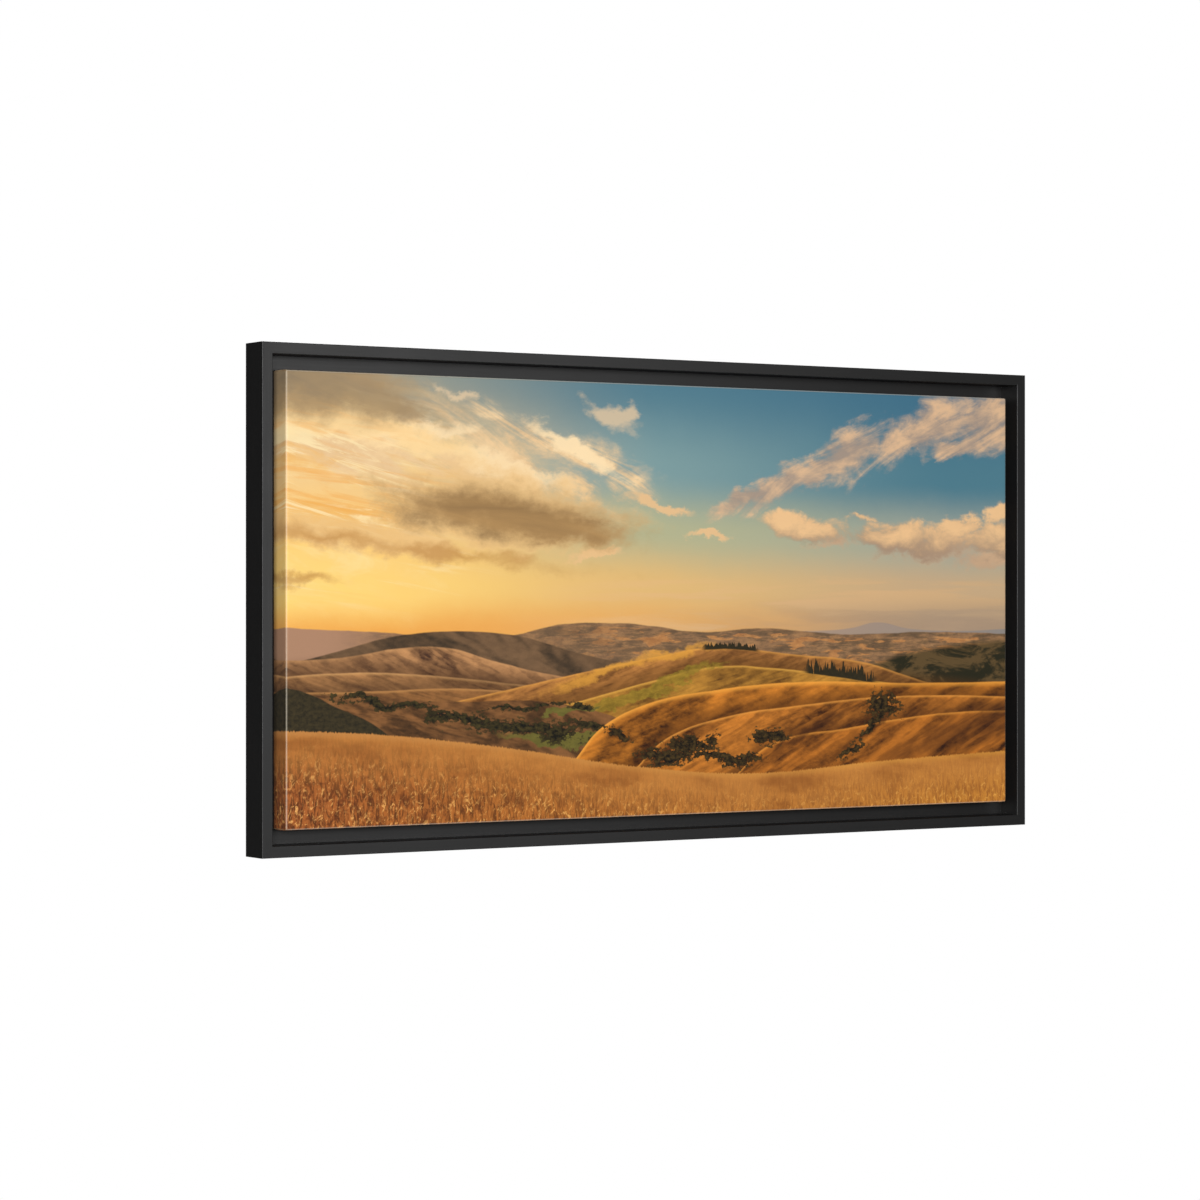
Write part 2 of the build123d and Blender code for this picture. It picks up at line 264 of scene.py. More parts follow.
# ---- the landscape ---------------------------------------------------
class Landscape:
    """An evening landscape of rolling hills, painted from far to near.

    across and up run from 0 to 1 over the face of the canvas.  Every layer is a mask
    and a colour laid over what is behind it.
    """

    def __init__(self, shader, across, up):
        self.shader = shader
        self.across = across
        self.up = up
        self.flat = shader.join(across * 2, up)
        self.fine = self.grain(1, 1.6, 7.5, 9, 0.62, 0.25, seed=1.7)
        self.soft = self.grain(1, 2.2, 2.6, 5, 0.5, 0.4, seed=4.2)
        self.patchy = self.grain(1, 1, 3.1, 6, 0.6, seed=0.3)
        self.texture = self.grain(7, 12, 6, 6, 0.65, 0.3, seed=5.9)
        self.leaf = self.grain(14, 18, 6, 4, 0.6, seed=61.0)
        drift = self.grain(1, 1.4, 9, 8, 0.62, seed=91.0) - 0.5
        lift = self.grain(1, 1.4, 9, 8, 0.62, seed=95.0) - 0.5
        self.ragged_across = across * 2 + drift * 0.16
        self.ragged_up = up + lift * 0.1
        self.colour = self.sky()
        self.cover = self.patchy
        for paint in (
            self.veil,
            self.high_clouds,
            self.sun_streaks,
            self.lens_cloud,
            self.climbing_cloud,
            self.heaped_clouds,
            self.haze,
            self.far_hills,
            self.left_hills,
            self.left_ridges,
            self.middle_ridge,
            self.golden_slope,
            self.tree_rows,
            self.valley,
            self.orange_hill,
            self.orange_ridges,
            self.bushes,
            self.dark_hill,
            self.field,
        ):
            self.start_layer()
            paint()

    def start_layer(self):
        """Coordinates that wait for the last mask, so a renderer holds few values at once."""
        wait = self.cover * 1e-7
        self.flat = self.shader.join(self.across * 2 + wait, self.up)
        self.ragged = self.shader.join(self.ragged_across + wait, self.ragged_up)

    # marks ------------------------------------------------------------
    def lay(self, mask, colour):
        """Cover what is there with a colour, as far as the mask goes from 0 to 1."""
        self.cover = mask
        self.colour = self.shader.mix(mask, self.colour, colour)

    def tint(self, factor, dark, light):
        """From a dark hex colour to a light one."""
        return self.shader.mix(factor, srgb(dark), srgb(light))

    def turned(self, vector, x, y, wide, high, turn, depth=0.0):
        """Coordinates about x, y, turned by that many degrees, in units of wide and high."""
        settings = {"vector_type": "TEXTURE"}
        values = {
            "Vector": vector,
            "Location": (2 * x, y, -depth),
            "Rotation": (0, 0, math.radians(turn)),
            "Scale": (wide, high, 1),
        }
        return self.shader.node("ShaderNodeMapping", settings, values)

    def grain(
        self, along, over, scale, detail=5, roughness=0.55, distortion=0.0, turn=0.0, seed=0.0, shift=0.0
    ):
        """Noise stretched by along and over, turned by a number of degrees."""
        where = self.turned(self.flat, shift, 0, 1 / along, 1 / over, turn, seed)
        return self.shader.noise(where, scale, detail, roughness, distortion)

    def blobs(self, *ellipses):
        """Ellipses (x, y, wide, high, turn): 1 in a middle, 0 at a rim, below 0 outside."""
        nearest = None
        for x, y, wide, high, turn in ellipses:
            where = self.turned(self.ragged, x, y, wide, high, turn)
            away = self.shader.node("ShaderNodeVectorMath", {"operation": "LENGTH"}, (where,), "Value")
            nearest = nearest.least(away) if nearest else away
        return 1 - nearest

    def puff(self, shape, ragged, low, high):
        """A cloud's cover from its rough shape, with a ragged rim."""
        return self.shader.step(shape + (self.fine - 0.5) * ragged, low, high)

    def skyline(self, rough, seed, *knots):
        """The height of a hill's top through its knots, a little uneven."""
        line = self.shader.node("ShaderNodeFloatCurve", {"points": knots}, {"Value": self.across})
        where = self.shader.join(self.across * 2, seed)
        return (self.shader.noise(where, 11, 5, 0.55) - 0.5) * rough + line

    def below(self, line, soft=0.004):
        """1 under a skyline."""
        return self.shader.step(line - self.up, 0.0, soft)

    def folds(self, along, over, scale, turn, seed, shift=0.008, spread=0.05, detail=4):
        """Folds of ground lit from the left: a height less its neighbour's."""
        here = self.grain(along, over, scale, detail, 0.5, 0.3, turn, seed)
        there = self.grain(along, over, scale, detail, 0.5, 0.3, turn, seed, shift)
        return self.shader.step(here - there, -spread, spread)

    def ground(self, line, shade, dark, light, rim="#000000", rim_depth=0.012, rim_strength=0.0):
        """One hill: its folds, a fine texture, and a lit rim along its top."""
        colour = self.tint(shade * 0.75 + (self.texture - 0.5) * 0.9 + 0.1, dark, light)
        if rim_strength:
            near_top = self.shader.step(line - self.up, rim_depth, 0.0) * rim_strength
            colour = self.shader.mix(near_top, colour, srgb(rim))
        self.lay(self.below(line), colour)

    def ridge(self, line, turn, seed, dark, light, rim):
        """A nearer ridge, with a shaded hollow behind it."""
        self.lay(self.shader.step(self.up - line, 0.045, 0.0) * 0.6, srgb(dark))
        broad = self.folds(0.7, 2.2, 3.6, turn, seed, 0.02, 0.075, 3)
        narrow = self.folds(1.0, 5.5, 4.6, turn, seed + 3.3, 0.007, 0.06)
        self.ground(line, broad * 0.6 + narrow * 0.4, dark, light, rim, 0.01, 0.8)

    # sky --------------------------------------------------------------
    def sky(self):
        """Three skies from left to right, each a ramp up from the horizon."""
        shader = self.shader
        height = self.up + (self.patchy - 0.5) * 0.06
        left = shader.ramp(
            height,
            (0.43, "#EFA345"), (0.52, "#FFCE6A"), (0.62, "#FCC66E"), (0.8, "#F2CC8E"),
            (1.0, "#9C9C8C"),
        )
        middle = shader.ramp(
            height,
            (0.43, "#E8AD62"), (0.53, "#E2BA78"), (0.66, "#B4B48F"), (0.8, "#7D9DA0"),
            (1.0, "#527D8E"),
        )
        right = shader.ramp(
            height,
            (0.43, "#B0957A"), (0.52, "#C8AA84"), (0.64, "#A3A898"), (0.78, "#4D7C8D"),
            (1.0, "#3F6F88"),
        )
        warm = shader.mix(shader.step(self.across, 0.04, 0.5), left, middle)
        return shader.mix(shader.step(self.across, 0.44, 0.92), warm, right)

    def veil(self):
        """The sun's side: bright and streaked."""
        shader = self.shader
        swirl = self.grain(1.0, 4.0, 3.2, 9, 0.66, 1.4, turn=-12, seed=3.1)
        veil = shader.step(self.blobs((0.02, 0.74, 0.72, 0.32, 0)), 0.0, 0.8)
        milky = self.tint(self.fine * 1.8 - 0.4, "#F0B964", "#FFEDBA")
        self.lay(veil * shader.step(swirl, 0.42, 0.6), milky)
        ripple = self.grain(0.9, 8.0, 2.1, 7, 0.6, 0.7, turn=-7, seed=7.7)
        self.lay(veil * shader.step(ripple, 0.47, 0.62) * 0.6, srgb("#EBAA52"))
        glow = shader.step(self.blobs((-0.02, 0.56, 0.9, 0.2, 0)), 0.0, 1.0)
        self.lay(glow * 0.5, srgb("#FFE08A"))
        thread = self.grain(0.9, 12.0, 2.6, 6, 0.6, 0.6, turn=-9, seed=17.7)
        self.lay(veil * shader.step(thread, 0.55, 0.68) * 0.8, srgb("#FFEFC6"))

    def high_clouds(self):
        """Combed cloud between the veil and the blue, and the dull band in the corner."""
        shader = self.shader
        comb = self.grain(1.2, 6.0, 2.6, 9, 0.62, 0.9, turn=-24, seed=2.0)
        spread = self.blobs(
            (0.31, 0.82, 0.34, 0.09, -22),
            (0.14, 0.83, 0.36, 0.09, 0),
            (0.4, 0.8, 0.2, 0.07, -16),
        )
        thick = shader.step(comb * 0.9 + self.fine * 0.5, 0.6, 0.8) * shader.step(spread, -0.1, 0.5)
        self.lay(thick, self.tint(self.fine * 1.4 - 0.3, "#DDB483", "#FFE2B2"))
        brush = self.blobs(
            (0.37, 0.845, 0.2, 0.028, -24),
            (0.29, 0.79, 0.24, 0.03, -12),
            (0.17, 0.875, 0.24, 0.03, 6),
        )
        self.lay(self.puff(brush, 1.6, 0.0, 0.7) * 0.9, srgb("#FFE3B4"))
        tufts = self.blobs(
            (0.415, 0.925, 0.1, 0.03, -22),
            (0.44, 0.92, 0.06, 0.035, 40),
            (0.215, 0.96, 0.07, 0.016, -12),
        )
        self.lay(self.puff(tufts, 1.9, 0.05, 0.7) * 0.75, srgb("#E3C8A2"))
        small = self.blobs(
            (0.485, 0.715, 0.12, 0.016, -14),
            (0.555, 0.65, 0.07, 0.011, 0),
            (0.4, 0.605, 0.09, 0.012, 6),
        )
        self.lay(self.puff(small, 1.3, 0.0, 0.55) * 0.9, srgb("#EBC08C"))
        lit = self.blobs((0.03, 0.9, 0.26, 0.045, -8), (0.14, 0.87, 0.2, 0.035, -16))
        self.lay(self.puff(lit, 1.5, -0.3, 0.6) * 0.85, srgb("#FDD99C"))
        band = self.blobs((0.03, 0.98, 0.26, 0.075, -8), (0.11, 0.945, 0.18, 0.04, -14))
        dull = self.tint(self.soft * 1.8 - 0.3, "#74604A", "#B49468")
        self.lay(self.puff(band, 1.6, -0.5, 0.6) * 0.8, dull)

    def sun_streaks(self):
        """Fine bright threads over the sun's side, with warm ones under them."""
        shader = self.shader
        side = shader.step(self.blobs((0.04, 0.76, 0.5, 0.2, -6)), 0.0, 0.7)
        warm = self.grain(0.8, 9.0, 2.6, 7, 0.62, 1.1, turn=-10, seed=19.7)
        self.lay(side * shader.step(warm, 0.5, 0.62) * 0.5, srgb("#F0A84A"))
        bright = self.grain(1.0, 9.0, 3.0, 8, 0.66, 1.3, turn=-15, seed=23.1)
        self.lay(side * shader.step(bright, 0.51, 0.63) * 0.7, srgb("#FFEAB6"))

    def lens_cloud(self):
        """One long flat cloud with a dull middle, and thin bars of cloud below it."""
        shader = self.shader
        brim = self.blobs((0.27, 0.7, 0.4, 0.11, -4), (0.1, 0.64, 0.3, 0.05, -6))
        self.lay(self.puff(brim, 1.3, -0.1, 0.5) * 0.85, self.tint(self.fine, "#E3B474", "#F3CB8E"))
        core = self.blobs((0.27, 0.695, 0.34, 0.062, -6), (0.34, 0.665, 0.24, 0.045, -4))
        ripple = self.grain(0.8, 5, 3, 6, 0.55, 0.6, turn=-9, seed=8.3)
        dull = self.tint(ripple * 2 - 0.5, "#745A3C", "#B38C58")
        self.lay(self.puff(core, 1.5, -0.3, 0.7) * 0.95, dull)
        bars = self.blobs(
            (0.06, 0.635, 0.26, 0.022, -8),
            (0.2, 0.6, 0.34, 0.02, -5),
            (0.02, 0.545, 0.1, 0.012, 0),
        )
        self.lay(self.puff(bars, 2.0, -0.5, 1.1) * 0.7, srgb("#BC8644"))

    def climbing_cloud(self):
        """A combed cloud that climbs to the top right."""
        shader = self.shader
        comb = self.grain(1.2, 4.5, 3.4, 9, 0.64, 0.9, turn=26, seed=6.5)
        climb = self.blobs(
            (0.61, 0.745, 0.14, 0.03, 24),
            (0.66, 0.775, 0.2, 0.042, 22),
            (0.7, 0.8, 0.2, 0.04, 20),
            (0.76, 0.85, 0.14, 0.065, 30),
            (0.87, 0.91, 0.22, 0.06, 20),
            (0.93, 0.88, 0.14, 0.035, 6),
            (0.97, 0.935, 0.16, 0.085, 4),
        )
        shape = climb + (comb - 0.5) * 1.5 + (self.fine - 0.5) * 0.8
        lit = shader.step(comb * 0.5 + self.fine * 0.5, 0.4, 0.6)
        self.lay(shader.step(shape, -0.1, 0.62) * 0.92, self.tint(lit, "#A89484", "#E9BF94"))

    def heaped_clouds(self):
        """Heaped clouds with lit tops at the right, and their dull undersides."""
        shader = self.shader
        puffs = self.blobs(
            (0.665, 0.685, 0.1, 0.034, 0),
            (0.7, 0.66, 0.13, 0.028, -6),
            (0.775, 0.695, 0.07, 0.016, 0),
            (0.83, 0.645, 0.24, 0.05, -6),
            (0.93, 0.68, 0.1, 0.026, 8),
            (0.99, 0.72, 0.05, 0.03, 14),
            (0.99, 0.655, 0.13, 0.055, 0),
        )
        under = self.blobs(
            (0.87, 0.625, 0.34, 0.045, -3),
            (0.97, 0.6, 0.2, 0.03, 0),
            (0.74, 0.635, 0.14, 0.02, 0),
        )
        dusk = self.tint(self.soft * 2 - 0.4, "#A58C7A", "#DDB48A")
        self.lay(self.puff(under, 2.6, 0.05, 0.9) * 0.9, dusk)
        top = shader.step(self.fine * 2.2 + puffs * 0.5 + (self.up - 0.655) * 7, 0.9, 1.9)
        self.lay(self.puff(puffs, 2.6, 0.0, 0.6) * 0.97, self.tint(top, "#A08873", "#F2C590"))

    def haze(self):
        """Level streaks of haze over the hills."""
        shader = self.shader
        streak = self.grain(0.8, 9, 2.4, 6, 0.55, 0.3, seed=9.1)
        low = shader.step(self.up, 0.62, 0.5) * shader.step(self.across, 0.25, 0.6)
        warm = self.tint(self.across, "#F6C486", "#D0AC80")
        self.lay(shader.step(streak, 0.48, 0.62) * low * 0.85, warm)
        dull = shader.step(self.up, 0.52, 0.45) * shader.step(self.across, 0.35, 1.0)
        self.lay(dull * shader.step(streak, 0.34, 0.56) * 0.6, srgb("#A08A76"))

    # ground -----------------------------------------------------------
    def far_hills(self):
        """A far peak, and the range along the horizon with its woods and fields."""
        shader = self.shader
        peak = self.skyline(
            0.003, 3.3,
            (0, 0.425), (0.7, 0.428), (0.76, 0.434), (0.8, 0.448), (0.85, 0.432), (1, 0.43),
        )
        self.lay(self.below(peak), self.tint(self.across, "#D9A571", "#8D8681"))
        line = self.skyline(
            0.008, 1.1,
            (0, 0.442), (0.1, 0.432), (0.28, 0.42), (0.35, 0.446), (0.45, 0.446), (0.55, 0.427),
            (0.62, 0.435), (0.75, 0.42), (0.88, 0.424), (1, 0.418),
        )
        woods = shader.step(self.grain(3, 18, 5, 8, 0.7, seed=5.5), 0.42, 0.58)
        tone = self.tint(self.texture * 1.8 - 0.4, "#6E5440", "#B08458")
        tone = shader.mix(woods * 0.6, tone, self.tint(self.across, "#57493B", "#40392B"))
        tone = shader.mix(shader.step(self.across, 0.16, 0.04), tone, srgb("#AD8468"))
        self.lay(self.below(line), tone)
        patches = shader.step(self.grain(3.2, 15, 4, 5, 0.55, 0.5, seed=5.9), 0.53, 0.6)
        sunny = shader.step(self.across, 0.3, 0.5) * self.below(line - 0.008)
        self.lay(patches * sunny * 0.75, self.tint(self.texture * 1.6 - 0.3, "#A2683A", "#DC9C5C"))
        # patched woods and fields at the right
        dale = self.skyline(0.02, 31.0, (0, 0.1), (0.7, 0.3), (0.8, 0.36), (0.9, 0.395), (1, 0.41))
        green = shader.step(self.grain(2.2, 5, 4, 7, 0.65, 0.5, seed=31.4), 0.44, 0.56)
        self.lay(self.below(dale, 0.02), shader.mix(green, srgb("#5E4A2C"), srgb("#262414")))

    def left_hills(self):
        """A wooded hill and a pale bare one before it."""
        shade = self.folds(0.9, 2.4, 3.0, -18, 8.8, 0.01, 0.06)
        wooded = self.skyline(
            0.005, 7.7,
            (0, 0.36), (0.06, 0.388), (0.13, 0.42), (0.2, 0.432), (0.28, 0.424), (0.4, 0.37),
            (0.55, 0.33),
        )
        self.ground(wooded, shade, "#3C3023", "#7C5E42")
        pale = self.skyline(
            0.005, 12.4,
            (0, 0.37), (0.07, 0.376), (0.14, 0.395), (0.2, 0.395), (0.27, 0.36), (0.36, 0.325),
            (0.5, 0.29),
        )
        broad = self.folds(0.8, 2.2, 3.2, -26, 13.1, 0.014, 0.08, 3)
        narrow = self.folds(1.6, 6, 4.5, -22, 14.6, 0.006, 0.05)
        self.ground(pale, broad * 0.6 + narrow * 0.4, "#4A3022", "#CC9460", "#D29C66", 0.012, 0.4)

    def left_ridges(self):
        """Two low ridges at the left."""
        line = self.skyline(
            0.005, 15.2,
            (0, 0.335), (0.09, 0.342), (0.17, 0.335), (0.26, 0.318), (0.34, 0.3), (0.46, 0.26),
        )
        self.ridge(line, -20, 16.1, "#50341F", "#C48C56", "#D9A468")
        line = self.skyline(0.005, 17.2, (0, 0.3), (0.1, 0.3), (0.2, 0.304), (0.3, 0.292), (0.42, 0.25))
        self.ridge(line, -14, 18.1, "#462D1B", "#A8723F", "#C88F52")

    def middle_ridge(self):
        """The tan ridge in the middle, with a strip of gold along it."""
        shader = self.shader
        tan = self.middle_line = self.skyline(
            0.005, 21.7,
            (0, 0.2), (0.2, 0.27), (0.35, 0.325), (0.48, 0.37), (0.56, 0.39), (0.68, 0.372),
            (0.78, 0.352), (0.88, 0.3), (1, 0.27),
        )
        broad = self.folds(0.6, 2.4, 3.2, 20, 22.4, 0.014, 0.07, 3)
        narrow = self.folds(1.2, 6, 4.8, 14, 23.9, 0.006, 0.05)
        shade = broad * 0.6 + narrow * 0.4
        self.ground(tan, shade, "#5A3518", "#C88643", "#E6A04A", 0.01, 0.8)
        gold = self.blobs((0.505, 0.372, 0.14, 0.014, 10), (0.42, 0.335, 0.2, 0.012, 13))
        self.lay(shader.step(gold + (self.texture - 0.5) * 0.8, -0.3, 0.7) * 0.7, srgb("#E5A23E"))

    def golden_slope(self):
        """The golden slope before it, with strips of meadow."""
        line = self.golden_line = self.skyline(
            0.005, 25.2,
            (0, 0.1), (0.28, 0.235), (0.37, 0.268), (0.47, 0.312), (0.56, 0.345), (0.66, 0.338),
            (0.8, 0.305), (1, 0.26),
        )
        self.ridge(line, 14, 26.1, "#5C3A14", "#CB9038", "#EDB04C")
        strips = self.blobs((0.47, 0.3, 0.26, 0.012, 13), (0.42, 0.262, 0.2, 0.012, 12))
        meadow = self.shader.step(strips + (self.texture - 0.5) * 0.6, 0.0, 0.3)
        self.lay(meadow * 0.8, self.tint(self.texture * 1.6 - 0.3, "#5B4C14", "#AE9030"))

    def tree_rows(self):
        """Rows of small trees that stand on the two ridges."""
        for line, x, wide, tall in (
            (self.middle_line, 0.585, 0.045, 0.045),
            (self.golden_line, 0.745, 0.06, 0.11),
        ):
            row = self.shader.step((self.across - x).size(), wide, wide * 0.75)
            crowns = self.grain(22, 1.5, 5, 2, 0.7, seed=66.0)
            top = line + (crowns - 0.32) * tall * row
            stand = self.shader.step(self.up - line, -0.008, -0.004) * row
            trees = self.shader.step(top - self.up, 0.0, 0.003) * stand
            self.lay(trees, self.tint(self.leaf, "#17150E", "#3B331D"))

    def valley(self):
        """The valley floor, its meadows and its hedges."""
        shader = self.shader
        floor = self.skyline(0.01, 41.2, (0, 0.29), (0.2, 0.275), (0.34, 0.268), (0.5, 0.2), (1, 0.15))
        shade = self.folds(1.2, 4, 3.4, -12, 42.9, 0.01, 0.06)
        self.ground(floor, shade, "#3F2A17", "#8E5F36")
        green = self.blobs((0.37, 0.178, 0.2, 0.018, -3), (0.36, 0.25, 0.1, 0.008, 8))
        meadow = shader.step(green + (self.texture - 0.5) * 0.4, 0.0, 0.3)
        self.lay(meadow, self.tint(self.texture, "#48441C", "#7E7434"))
        rows = self.blobs(
            (0.12, 0.268, 0.14, 0.012, -8),
            (0.22, 0.235, 0.16, 0.018, -12),
            (0.3, 0.212, 0.17, 0.022, 0),
            (0.35, 0.2, 0.04, 0.03, 0),
            (0.3, 0.258, 0.14, 0.008, 5),
            (0.45, 0.19, 0.13, 0.016, -9),
            (0.4, 0.205, 0.1, 0.014, -14),
            (0.44, 0.155, 0.14, 0.02, -10),
            (0.375, 0.262, 0.03, 0.012, 0),
        )
        cover = shader.step(rows + (self.leaf - 0.5) * 2.4, 0.0, 0.35)
        self.lay(cover, self.tint(self.leaf * 3 - 1.2, "#100F08", "#4D4221"))

    def orange_hill(self):
        """The big orange hill at the right."""
        shader = self.shader
        crest = self.skyline(
            0.004, 51.5,
            (0, 0), (0.34, 0.1), (0.41, 0.215), (0.47, 0.262), (0.56, 0.29), (0.68, 0.306), (0.85, 0.3),
            (1, 0.3),
        )
        broad = self.folds(0.6, 1.7, 3.4, 24, 57.3, 0.024, 0.075, 3)
        narrow = self.folds(0.8, 4.2, 4.6, 18, 52.6, 0.009, 0.06)
        shade = broad * 0.75 + narrow * 0.3
        depth = shader.step(crest - self.up, 0.0, 0.16)
        shade = shade * (1 - depth * 0.45) + 0.08 - depth * 0.1
        self.ground(crest, shade, "#2E1405", "#E48C2E", "#F7A640", 0.016, 0.9)

    def orange_ridges(self):
        """Two more folds of that hill, and the hollows in its shade."""
        line = self.skyline(
            0.004, 54.2,
            (0, 0), (0.42, 0.08), (0.5, 0.185), (0.58, 0.228), (0.68, 0.25), (0.82, 0.268),
            (1, 0.262),
        )
        self.ridge(line, 22, 55.1, "#341706", "#D98530", "#F0A044")
        line = self.skyline(
            0.004, 56.2,
            (0, 0), (0.56, 0.06), (0.65, 0.165), (0.76, 0.195), (0.88, 0.222), (1, 0.228),
        )
        self.ridge(line, 26, 58.1, "#2E1406", "#C97828", "#E8983C")
        hollow = self.blobs(
            (0.9, 0.165, 0.24, 0.05, 16),
            (0.7, 0.19, 0.2, 0.018, 24),
            (0.8, 0.2, 0.16, 0.016, 30),
            (0.98, 0.2, 0.16, 0.06, 8),
        )
        self.lay(self.shader.step(hollow + (self.texture - 0.5) * 1.2, 0.0, 0.8) * 0.6, srgb("#3B1D0C"))

    def bushes(self):
        """Bushes in the folds of the orange hill."""
        bushes = self.blobs(
            (0.81, 0.237, 0.055, 0.032, 0),
            (0.79, 0.2, 0.08, 0.014, 38),
            (0.64, 0.172, 0.05, 0.022, 0),
            (0.56, 0.176, 0.024, 0.022, 0),
            (0.53, 0.158, 0.09, 0.016, -6),
            (0.5, 0.14, 0.12, 0.018, 0),
            (0.57, 0.128, 0.12, 0.014, 0),
            (0.76, 0.135, 0.06, 0.012, 22),
            (0.43, 0.195, 0.05, 0.012, -14),
        )
        cover = self.shader.step(bushes + (self.leaf - 0.5) * 2.6, 0.0, 0.3)
        self.lay(cover, self.tint(self.leaf * 3 - 1.25, "#0D0A05", "#5A4520"))

    def dark_hill(self):
        """A dark wooded hill at the left edge."""
        hill = self.skyline(
            0.012, 71.5,
            (0, 0.312), (0.03, 0.296), (0.06, 0.268), (0.1, 0.235), (0.16, 0.17), (1, 0),
        )
        self.lay(self.below(hill), self.tint(self.leaf * 1.6 - 0.4, "#1E1B12", "#4A3F26"))

    def field(self):
        """The field of corn in front, with its stalks, heads and shaded clumps."""
        shader = self.shader
        edge = self.skyline(
            0.004, 75.0,
            (0, 0.217), (0.12, 0.204), (0.28, 0.168), (0.45, 0.118), (0.62, 0.093), (0.8, 0.112),
            (1, 0.128),
        )
        fringe = self.grain(60, 4, 5, 2, 0.6, seed=71.0)
        edge = edge + (fringe - 0.5) * 0.01
        depth = shader.step(edge - self.up, 0.0, 0.16)
        stalk = self.grain(34, 8, 4, 5, 0.68, 0.7, turn=3, seed=72.0)
        heads = self.grain(22, 13, 4, 6, 0.72, 1.1, turn=-14, seed=73.0)
        swell = self.grain(1.6, 5, 3, 4, 0.5, 0.3, turn=-5, seed=74.0)
        base = self.tint(self.across, "#A65C2A", "#C6822E")
        dark = self.tint(self.across, "#4F2611", "#96581E")
        light = self.tint(self.across, "#F0AE62", "#FFBE58")
        tone = shader.mix(shader.step(stalk, 0.4, 0.58), dark, base)
        tone = shader.mix(shader.step(heads, 0.52, 0.66) * (0.3 + depth * 0.6), tone, light)
        smooth = self.tint(swell * 1.8 - 0.4, "#A5662C", "#D08C42")
        tone = shader.mix(depth * 0.8 + 0.15, smooth, tone)
        tone = shader.mix(shader.step(swell, 0.5, 0.3) * 0.35, tone, srgb("#7A4318"))
        clump = self.grain(9, 8, 4, 5, 0.65, 0.6, seed=77.0)
        shaded = shader.step(clump, 0.5, 0.38) * depth * shader.step(self.across, 1.0, 0.0) * 0.6
        tone = shader.mix(shaded, tone, srgb("#56270F"))
        rim = shader.step(edge - self.up, 0.02, 0.0) * 0.5
        self.lay(self.below(edge), shader.mix(rim, tone, self.tint(self.across, "#C58A4E", "#DC9A3C")))


# ---- materials -------------------------------------------------------
THREAD_PITCH = 0.9 * MM
PRINT_MARGIN = 8 * MM        # print carried on to the back of the bars
PALE_CLOTH = "#E9E1D0"
DULL_CLOTH = "#D8CCB4"


def weave(shader, across, up):
    """Height of a plain weave: two crossing sets of threads that take turns on top."""
    a = (across * (math.pi / THREAD_PITCH)).sine()
    b = (up * (math.pi / THREAD_PITCH)).sine()
    return (a * b) * 0.5 + 0.5


def cloth_places(shader):
    """The cloth's own flat coordinates in metres, from the middle of its face."""
    uv = shader.node("ShaderNodeUVMap", {"uv_map": "cloth"})
    across, up, _ = shader.split(uv)
    return across, up


def printed_cloth():
    """The picture on the face, mirrored on to the sides, with bare cloth past its end."""
    shader = Shader("printed_canvas", Specular_IOR_Level=0.18, Sheen_Weight=0.05)
    across, up = cloth_places(shader)
    u = (across / CANVAS_WIDTH + 0.5).mirrored()
    v = (up / CANVAS_HEIGHT + 0.5).mirrored()
    picture = Landscape(shader, u, v).colour
    beyond = (across.size() - CANVAS_WIDTH / 2).most(up.size() - CANVAS_HEIGHT / 2)
    fibres = shader.noise(shader.join(across, up), 900, 2)
    side = cloth_high.y - cloth_low.y
    print_end = side + PRINT_MARGIN
    blank = shader.step(beyond + (fibres - 0.5) * (2 * MM), print_end, print_end + MM)
    # Paler cloth along the front edge's fold: painted highlight where the rounded edge catches light,
    # and print cracked on the fold that shows the cloth
    edge_highlight_and_crack = shader.step((beyond + 0.5 * MM).size(), 1.3 * MM, 0.4 * MM) * (fibres * 0.5 + 0.2)
    threads = weave(shader, across, up)
    mitre = (across.size() - up.size() - (CANVAS_WIDTH - CANVAS_HEIGHT) / 2).size()
    fold = shader.step(mitre, 1.2 * MM, 0.3 * MM) * shader.step(beyond, side, side + MM)
    # Painted shade in the hollows between the threads
    colour = shader.multiply((1 - threads) * 0.12, picture, srgb("#B8A890"))
    # Lay the painted edge highlight, partly cracked print, over the picture
    colour = shader.mix(edge_highlight_and_crack * 0.6, colour, srgb("#FFF2DC"))
    colour = shader.mix(blank, colour, shader.mix(fibres, srgb(DULL_CLOTH), srgb(PALE_CLOTH)))
    # Painted shade along the mitre fold at each corner, where the cloth creases
    colour = shader.multiply(fold * 0.7, colour, srgb("#6F6350"))
    shader.feed("Base Color", colour)
    shader.feed("Roughness", fibres * 0.15 + 0.62)
    slub = shader.noise(shader.join(across, up * 6), 160, 3)
    shader.bump(threads + slub * 0.5 - fold * 3, 0.3, 0.18 * MM)
    return shader.material


def bare_cloth():
    """Cloth without primer: the weave, its slubs and a few husks."""
    shader = Shader("bare_canvas", Specular_IOR_Level=0.15, Sheen_Weight=0.1)
    across, up = cloth_places(shader)
    threads = weave(shader, across, up)
    warp_slub = shader.noise(shader.join(across * 0.25, up), 420, 3)
    weft_slub = shader.noise(shader.join(across, up * 0.25), 420, 3)
    tint = shader.noise(shader.join(across, up), 5, 4)
    colour = shader.mix(tint, srgb(DULL_CLOTH), srgb(PALE_CLOTH))
    husks = shader.step(shader.cells(shader.join(across, up), 55), 0.035, 0.02)
    colour = shader.mix(husks * 0.6, colour, srgb("#8D7350"))
    # Painted shade in the hollows between the threads
    colour = shader.multiply((1 - threads) * 0.3, colour, srgb("#A89A82"))
    shader.feed("Base Color", colour)
    shader.feed("Roughness", tint * 0.1 + 0.8)
    shader.bump(threads + warp_slub * weft_slub * 2, 0.5, 0.2 * MM)
    return shader.material


